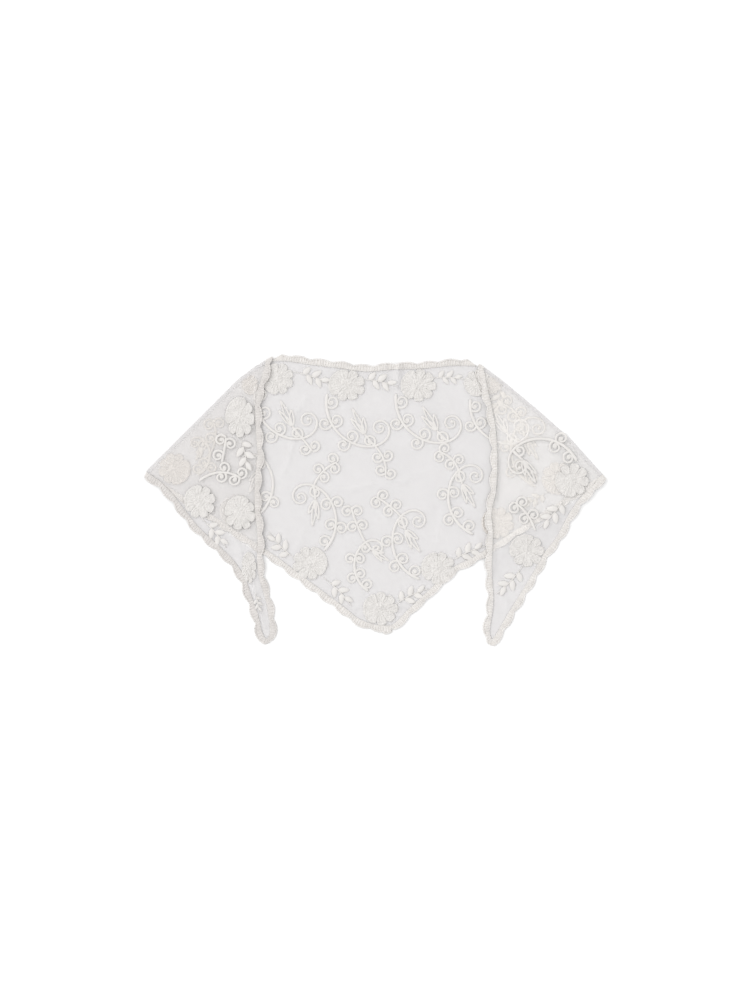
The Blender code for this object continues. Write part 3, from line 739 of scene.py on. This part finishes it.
def addSprig(bm, panel, start, heading, length, bend):
    rows = walk(start, heading, length, lambda s: bend, 1, strand["stride"])
    addStrand(bm, panel, [row[0] for row in rows], rounded(curlShape["cord"]),
              rounded(curlShape["cord height"]))
    for back, side in sprigShape["curls"]:
        if back < length - sprigShape["bare"]:
            addCurl(bm, panel, *at(rows, length - back), side, sprigShape["curl scale"])


def addBudLeaf(bm, panel, start, heading, length, width):
    # a narrow leaf: two outline cords that meet at its tip
    shape = scrollShape
    steps, tip = shape["leaf steps"], shape["leaf cord tip"]
    for side in (1, -1):
        path = []
        for i in range(steps + 1):
            bow = side * width / 2 * math.sin(math.pi * (i / steps) ** shape["leaf skew"])
            path.append(start + towards(heading) * (length * i / steps) + towards(heading + 90) * bow)
        addStrand(bm, panel, path, rounded(shape["leaf cord"], tip),
                  rounded(shape["leaf cord height"], tip))


def addBud(bm, panel, rows, side, scale, budTurn):
    # a stalk with three narrow leaves at its tip, and a curl beside it
    shape = scrollShape
    leavesAt, turn, reach = shape["bud stalk"]
    place, direction = at(rows, leavesAt * scale)
    stalk = walk(place, direction + side * turn + budTurn, reach * scale, lambda s: 0.0, 1,
                 strand["straight stride"])
    addStrand(bm, panel, [row[0] for row in stalk], rounded(curlShape["cord"]),
              rounded(curlShape["cord height"]))
    tip, direction, _ = stalk[-1]
    for turn, reach, width in shape["bud leaves"]:
        addBudLeaf(bm, panel, tip, direction + side * turn, reach * scale, width * scale)
    along, size = shape["bud curl"]
    addCurl(bm, panel, *at(rows, along * scale), side, size * max(scale, curlShape["smallest"]))


def addScroll(bm, panel, start, heading, side, scale, curls, budTurn, sprigRow):
    # a stem that winds into a spiral, with side curls, a bud and a sprig
    shape = scrollShape

    def bend(s):
        wound = max(0.0, s / scale - shape["winds from"])
        return (shape["bend"] + shape["winding"] * wound ** 2) / scale

    length = (shape["length"] + shape["winds on"]) * scale
    rows = walk(start, heading, length, bend, side, strand["stride"])
    addStrand(bm, panel, [row[0] for row in rows], rounded(shape["stem"], 0.5, 0.02, shape["narrows to"]),
              rounded(shape["stem height"], 0.5, 0.02, shape["narrows to"]))
    place, direction, _ = rows[-1]
    addKnot(bm, panel, place + towards(direction + 90 * side) * shape["knot off"] * scale,
            shape["knot"] * scale ** 0.5, shape["knot height"])
    for along, curlSide in shape["curls"][:curls]:
        addCurl(bm, panel, *at(rows, along * scale), curlSide * side, max(scale, curlShape["smallest"]))
    if budTurn is not None:
        addBud(bm, panel, rows, side, scale, budTurn)
    if sprigRow:
        addSprig(bm, panel, at(rows, shape["sprig from"] * scale)[0], *sprigRow)


def addSpray(bm, panel, start, heading, scale):
    # pointed leaves on both sides of a stalk
    shape = sprayShape
    rows = walk(start, heading, shape["length"] * scale, lambda s: shape["bend"], 1, strand["stride"])
    addStrand(bm, panel, [row[0] for row in rows], rounded(shape["stalk"]),
              rounded(shape["stalk height"]))
    stride = strand["straight stride"]
    behind = walk(start, heading + 180, shape["tail behind"] * scale, lambda s: shape["bend"], 1, stride)
    place, direction, _ = rows[-1]
    ahead = walk(place, direction, shape["tail ahead"] * scale, lambda s: shape["bend"], 1, stride)
    for tail in (behind, ahead):
        addStrand(bm, panel, [row[0] for row in tail], rounded(shape["tail"]), rounded(shape["tail"]))
    for along, turn, reach, width in shape["leaves"]:
        place, direction = at(rows, along * scale)
        steps = shape["leaf steps"]
        path = [place + towards(direction + turn) * (reach * scale * i / steps) for i in range(steps + 1)]
        addStrand(bm, panel, path, lens(width * scale), lens(shape["leaf height"]))


def pieceName(label, ending):
    words = [word.capitalize() for word in label.split("_")]
    return words[0].lower() + "".join(words[1:]) + ending


def nodeOf(label):
    # the solid that a piece stands for: what only shows through the folded ends has none
    return () if label.startswith("under_") else (label,)


def isBeneath(label):
    # whether a piece lies under a folded end, and so takes the copies with painted shade
    return label.startswith("under_") or "corner" in label or label == "flower_low_4"


def embroider(label, panel, add, *shape):
    bm = bmesh.new()
    add(bm, panel, *shape)
    # pieces under a folded end take the thread copy with painted shade
    material = shadedBeneathThread if isBeneath(label) else thread
    finishPiece(pieceName(label, "Thread"), bm, material, nodeOf(label))


for node, panel, x, y, *shape in scrolls:
    embroider(node, panel, addScroll, Vector((x, y)), *shape)
for node, panel, x, y, heading, scale in sprays:
    embroider(node, panel, addSpray, Vector((x, y)), heading, scale)
for node, panel, x, y, *shape in sprigs:
    embroider(node, panel, addSprig, Vector((x, y)), *shape)
print("scrolls, sprays and sprigs embroidered")

# flowers

flowerShape = {
    "radius": 26.0, "around": 240, "rings": 24,
    # the petals: degrees from the way the flower faces, half its spread in degrees, how far it reaches
    "petals": ((84, 21, 1), (42, 21, 1.05), (2, 19, 1.07), (-38, 21, 1.03),
               (-80, 21, 1)),
    "fan": (180, 77, 0.98), "notch": 0.24, "ragged": 0.03,
    "body": 0.8, "valley": 0.6, "cord": 0.7, "cord half": 1.6, "slots": 22, "petal slot": 0.45,
    "fan slot": 1.0, "hearts": 6, "heart": 1.1, "ditch": 0.5, "lumps": 1.0, "lump": 2.2, "least": 0.35,
    # shares of the radius at which something starts or lies, and over how wide a share
    "petals from": (0.36, 0.14), "heart ring": (0.22, 0.09), "ditch ring": (0.37, 0.05), "round": 1.4,
    "slope": 0.3, "valley wide": 1.5, "worked from": 1.6, "worked over": 1.2, "worked": 0.25,
    "under": (0.15, 0.4, 0.7, 1.0), "sunk": 0.15, "rim": 0.25, "rag": 6, "lump seed": 5.0,
}


def petalAt(angle):
    # which part of a flower an angle from its facing falls in: place across it, spread, reach, kind
    for middle, spread, reach in flowerShape["petals"]:
        if abs(angle - middle) <= spread:
            return (angle - middle) / spread, spread, reach, "petal"
    middle, spread, reach = flowerShape["fan"]
    return max(-1.0, min(1.0, (angle % 360.0 - middle) / spread)), spread, reach, "fan"


def flowerOutline(angle):
    # the rim, as a share of the radius
    across, spread, reach, kind = petalAt(angle)
    return reach * (1.0 - flowerShape["notch"] * abs(across) ** (4 if kind == "petal" else 16))


def flowerHeight(share, angle):
    # height of a flower over the net: corded petals and a slotted fan round a ring of knots
    shape = flowerShape
    across, spread, reach, kind = petalAt(angle)
    toSide = (1.0 - abs(across)) * math.radians(spread) * share * shape["radius"]
    toRim = (1.0 - share) * shape["radius"] * reach
    starts, over = shape["petals from"]
    outer = soft((share - starts) / over)
    height = shape["body"] * (1.0 - shape["slope"] * share ** 2)
    height -= shape["valley"] * outer * (1.0 - soft(toSide / shape["valley wide"]))
    edge = min(toRim, max(toSide, toRim * (1.0 - outer)))
    bow = 1.0 - ((edge - shape["cord half"]) / shape["cord half"]) ** 2
    height += shape["cord"] * math.sqrt(max(0.0, bow)) * outer
    inside = soft((edge - shape["worked from"] * shape["cord half"]) / shape["worked over"]) * outer
    slot = (0.5 - 0.5 * math.cos(shape["slots"] * math.radians(angle))) ** 2
    height -= shape[kind + " slot"] * slot * inside
    height += shape["worked"] * inside
    lies, half = shape["heart ring"]
    ring = math.exp(-((share - lies) / half) ** 2)
    height += shape["heart"] * ring * (0.5 + 0.5 * math.cos(shape["hearts"] * math.radians(angle)))
    ditchLies, ditchHalf = shape["ditch ring"]
    height -= shape["ditch"] * math.exp(-((share - ditchLies) / ditchHalf) ** 2)
    return height + shape["heart"] * math.exp(-(share / half) ** 2)


def addFlower(bm, panel, centre, wide, high, face):
    # rings of points from under the middle out to the rim and back over the top
    shape = flowerShape
    around, count = shape["around"], shape["rings"]
    spun = Matrix.Rotation(math.radians(face), 2)

    def ringAt(share, heightAt):
        ring = []
        for k in range(around):
            angle = 360.0 * k / around
            angle -= 360.0 if angle > 180.0 else 0.0
            ragged = noise.noise(Vector((k / shape["rag"], centre.x, centre.y)))
            ragged *= math.sin(math.pi * k / around)
            plain = 1.0 + (flowerOutline(angle) - 1.0) * soft(share * shape["round"])
            reach = shape["radius"] * share * plain * (1.0 + shape["ragged"] * ragged)
            spot = spun @ (towards(angle) * reach)
            spot = Vector((centre.x + spot.x * wide, centre.y + spot.y * high))
            ring.append(bm.verts.new((*spot, onTop(panel, spot.x, spot.y) + heightAt(angle, spot))))
        return ring

    def worked(share):
        def heightAt(angle, spot):
            lump = noise.noise(Vector((spot.x, spot.y, shape["lump seed"])) / shape["lump"])
            return max(shape["least"], flowerHeight(share, angle) + shape["lumps"] * lump)
        return heightAt

    rings = [ringAt(share, lambda angle, spot: -shape["sunk"]) for share in shape["under"]]
    rings.append(ringAt(1.0, lambda angle, spot: shape["rim"]))
    rings += [ringAt(1.0 - i / (count + 1), worked(1.0 - i / (count + 1))) for i in range(1, count + 1)]
    for outer, inner in zip(rings, rings[1:]):
        for k in range(around):
            j = (k + 1) % around
            bm.faces.new((outer[k], outer[j], inner[j], inner[k]))
    bm.faces.new(rings[0][::-1])
    bm.faces.new(rings[-1])


for node, panel, x, y, *shape in flowers:
    bm = bmesh.new()
    addFlower(bm, panel, Vector((x, y)), *shape)
    # flowers under a folded end take the lace copy with painted shade
    material = shadedBeneathFlower if isBeneath(node) else flowerThread
    finishPiece(pieceName(node, "Lace"), bm, material, nodeOf(node))
print("flowers worked")

# edging

edging = {
    "width": 6.5, "pitch": 33.0, "wall": 0.55, "step": 1.05, "bar pitch": 4.2, "bar": 2.8, "lap": 2.2,
    "grid": 3.5, "seam step": 2.0, "rim inset": 0.6, "fold margin": 1.0,
    # a cord: how far from the net's edge or the rim, how wide, how much it lies over the ground
    "inner cord": (0.9, 1.7, 0.1), "outer cord": (1.0, 2.4, 0.5), "cord height": 0.42, "knot": 0.35,
    "bar inset": 0.8, "bar height": 0.8, "bar lift": 0.45, "uneven": 0.3, "uneven over": 6.0,
    "tab": 13.0, "tab over": 2.0, "tab depth": 3.6,  # the lapped end at the bottom point
    "depths": {"top": 3.6, "lower_left": 4.0, "lower_right": 3.0, "end": 4.4},
}


def edgingRows(seam, depth, tab):
    # rows along a seam: place, way out, and how far the scalloped rim lies from the seam
    line = smoothLine(seam, edging["seam step"])
    rows = spaced(line, edging["step"])
    total = rows[-1][2]
    count = max(1, round(total / edging["pitch"]))
    out = []
    for i, (place, _, along) in enumerate(rows):
        before, after = rows[max(0, i - 2)][0], rows[min(len(rows) - 1, i + 2)][0]
        ahead = (after - before).normalized()
        bulge = abs(math.sin(math.pi * along / total * count)) - 0.5
        rim = cloth["seam gap"] + edging["width"] + depth * bulge
        rim += tab * soft((along - total + edging["tab"]) / edging["tab over"])
        out.append((place, Vector((ahead.y, -ahead.x)), rim, along))
    return out


def keptRuns(panel, points):
    # the stretches of a line of points that aren't past a fold
    margin = cloth["fold inset"]
    if panel == "middle":
        margin = cloth["fold inset"] + cloth["fold lip"] + edging["fold margin"]
    sides = ("left", "right") if panel == "middle" else (panel,)
    runs, run = [], []
    for p in points:
        if all(insideFold(side, p.x, p.y) > margin for side in sides):
            run.append(p)
            continue
        if len(run) > 2:
            runs.append(run)
        run = []
    return runs + ([run] if len(run) > 2 else [])


def addEdging(node, panel, seam, depth, tab=0.0):
    # a thin ground with a knotted cord along both sides and bars between them
    rows = edgingRows(seam, depth, tab)
    gap, lap = cloth["seam gap"], edging["lap"]
    outline = [p - out * lap for p, out, rim, _ in rows]
    outline += [p + out * (rim - edging["rim inset"]) for p, out, rim, _ in rows][::-1]
    ground = flatSheet(outline, edging["grid"])
    half = edging["wall"] / 2
    if panel == "middle":
        for side in folds:
            cutAtFold(ground, side, cloth["fold inset"] + cloth["fold lip"] + gap)
    else:
        cutAtFold(ground, panel, cloth["fold inset"])
    for v in ground.verts:
        v.co.z = underside(panel, v.co.x, v.co.y) + cloth["wall"] + half
    if panel != "middle":
        edges, outward = foldEdges(ground, panel, cloth["fold inset"])
        rollUnder(ground, edges, outward, half + cloth["folded"])
    bmesh.ops.recalc_face_normals(ground, faces=ground.faces)
    bmesh.ops.solidify(ground, geom=ground.faces[:], thickness=edging["wall"])
    bmesh.ops.translate(ground, verts=ground.verts, vec=(0, 0, half))
    for face in ground.faces:
        face.material_index = 1

    def knotted(size):
        return lambda share: size * (1.0 + edging["knot"] * math.cos(share * knots * 2 * math.pi))

    for cord in ("inner cord", "outer cord"):
        off, size, lift = edging[cord]
        inner = cord == "inner cord"
        line = [p + out * (off - lap if inner else rim - off) for p, out, rim, _ in rows]
        for run in keptRuns(panel, line):
            knots = round(len(run) * edging["step"] / edging["bar pitch"])
            addStrand(ground, panel, run, knotted(size), knotted(size * edging["cord height"]), lift)
    nextBar, inset = 0.0, edging["bar inset"]
    for p, out, rim, along in rows:
        if along < nextBar:
            continue
        uneven = noise.noise(Vector((p.x, p.y, 2.0)) / edging["uneven over"])
        varied = 1.0 + edging["uneven"] * uneven
        nextBar += edging["bar pitch"] * varied
        run = [p + out * (inset - lap + (rim - 2 * inset + lap) * i / 4) for i in range(5)]
        if [len(kept) for kept in keptRuns(panel, run)] == [5]:
            addStrand(ground, panel, run, rounded(edging["bar"] * varied), rounded(edging["bar height"]),
                      edging["bar lift"])
    # the left end's edging takes the copies with painted shade
    materials = [leftEdgeShadedThread, leftEdgeShadedGround] if panel == "left" else [edgeThread, edgeGround]
    finishPiece(pieceName(node, "Lace"), ground, materials, (node,))


addEdging("edging_top", "middle", topSeam, edging["depths"]["top"])
addEdging("edging_lower_left", "middle", lowerLeftSeam, edging["depths"]["lower_left"],
          edging["tab depth"])
addEdging("edging_lower_right", "middle", lowerRightSeam, edging["depths"]["lower_right"])
addEdging("edging_left_end", "left", leftEndSeam, edging["depths"]["end"])
addEdging("edging_right_end", "right", rightEndSeam, edging["depths"]["end"])
print("edging sewn on")

# floor, light, camera

studio = {"floor": "#FBFBFB", "floor half": 6.0, "floor low": 0.0002, "sky": 1.0, "key": 1400.0,
          "key size": 15.0, "key from": (-15.6, 7.8, 13.2)}
# the camera looks straight down from far off: millimetres of cloth to a pixel of the photograph, then
# the lens and the width of the film
view = {"pixel": 1.55, "lens": 85.0, "film": 36.0}


def addStudio():
    bm = bmesh.new()
    bmesh.ops.create_grid(bm, x_segments=1, y_segments=1, size=studio["floor half"])
    mesh = bpy.data.meshes.new("floor")
    bm.to_mesh(mesh)
    bm.free()
    floor = bpy.data.objects.new("floor", mesh)
    bpy.context.scene.collection.objects.link(floor)
    floor.location.z = -studio["floor low"]
    material, _, shader = newMaterial("matt paper floor")
    shader.inputs["Base Color"].default_value = toLinear(studio["floor"])
    shader.inputs["Roughness"].default_value = 1.0
    shader.inputs["Specular IOR Level"].default_value = 0.0
    mesh.materials.append(material)
    world = bpy.data.worlds.new("studio air")
    world.use_nodes = True
    world.node_tree.nodes["Background"].inputs["Color"].default_value = (1.0, 1.0, 1.0, 1.0)
    world.node_tree.nodes["Background"].inputs["Strength"].default_value = studio["sky"]
    bpy.context.scene.world = world
    light = bpy.data.lights.new("window", "AREA")
    light.energy = studio["key"]
    light.shape = "DISK"
    light.size = studio["key size"]
    lamp = bpy.data.objects.new("window", light)
    lamp.location = studio["key from"]
    lamp.rotation_euler = (-Vector(studio["key from"])).to_track_quat("-Z", "Y").to_euler()
    bpy.context.scene.collection.objects.link(lamp)
    bpy.context.scene.view_settings.view_transform = "Standard"


def addCamera():
    pixel = view["pixel"]
    data = bpy.data.cameras.new("camera")
    data.lens = view["lens"]
    data.sensor_width = view["film"]
    camera = bpy.data.objects.new("camera", data)
    camera.location = ((0.5 * pixel - layoutMiddle[0]) * mm, (-0.5 * pixel - layoutMiddle[1]) * mm,
                       view["lens"] / view["film"] * 1000 * pixel * mm)
    bpy.context.scene.collection.objects.link(camera)
    bpy.context.scene.camera = camera


addStudio()
addCamera()
